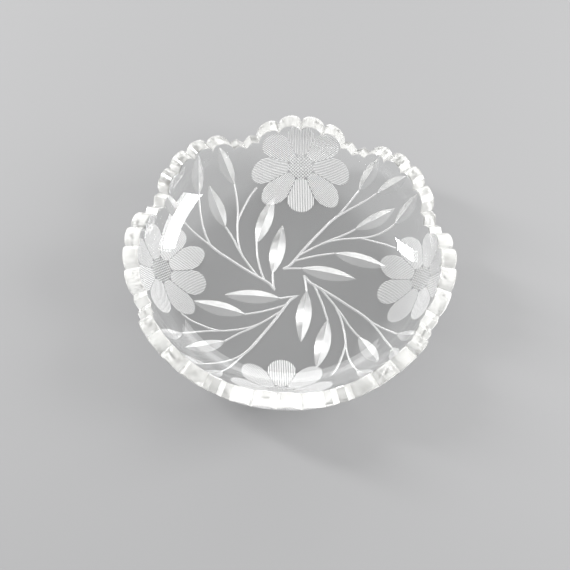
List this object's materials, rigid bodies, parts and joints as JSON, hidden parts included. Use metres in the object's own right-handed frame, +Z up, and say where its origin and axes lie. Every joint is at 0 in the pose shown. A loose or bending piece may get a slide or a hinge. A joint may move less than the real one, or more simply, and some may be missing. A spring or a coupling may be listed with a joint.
{
  "type": "cut-crystal dish",
  "caption": "Low thick-walled crystal dish with a scalloped sawtooth rim, cut on its outside with daisies and curling leaf sprays.",
  "frame": {"origin": "centre of the flat base, on the surface the dish stands on", "axes": "+Z up along the axis the dish is turned about; +X through the middle of one rim lobe"},
  "size_m": [0.1496, 0.1496, 0.0311],
  "materials": {
    "crystal": "polished lead crystal, with frosted and mitre-cut ornament on the outside"
  },
  "bodies": {
    "root": {"crystal_dish": "crystal"}
  },
  "joints": []
}
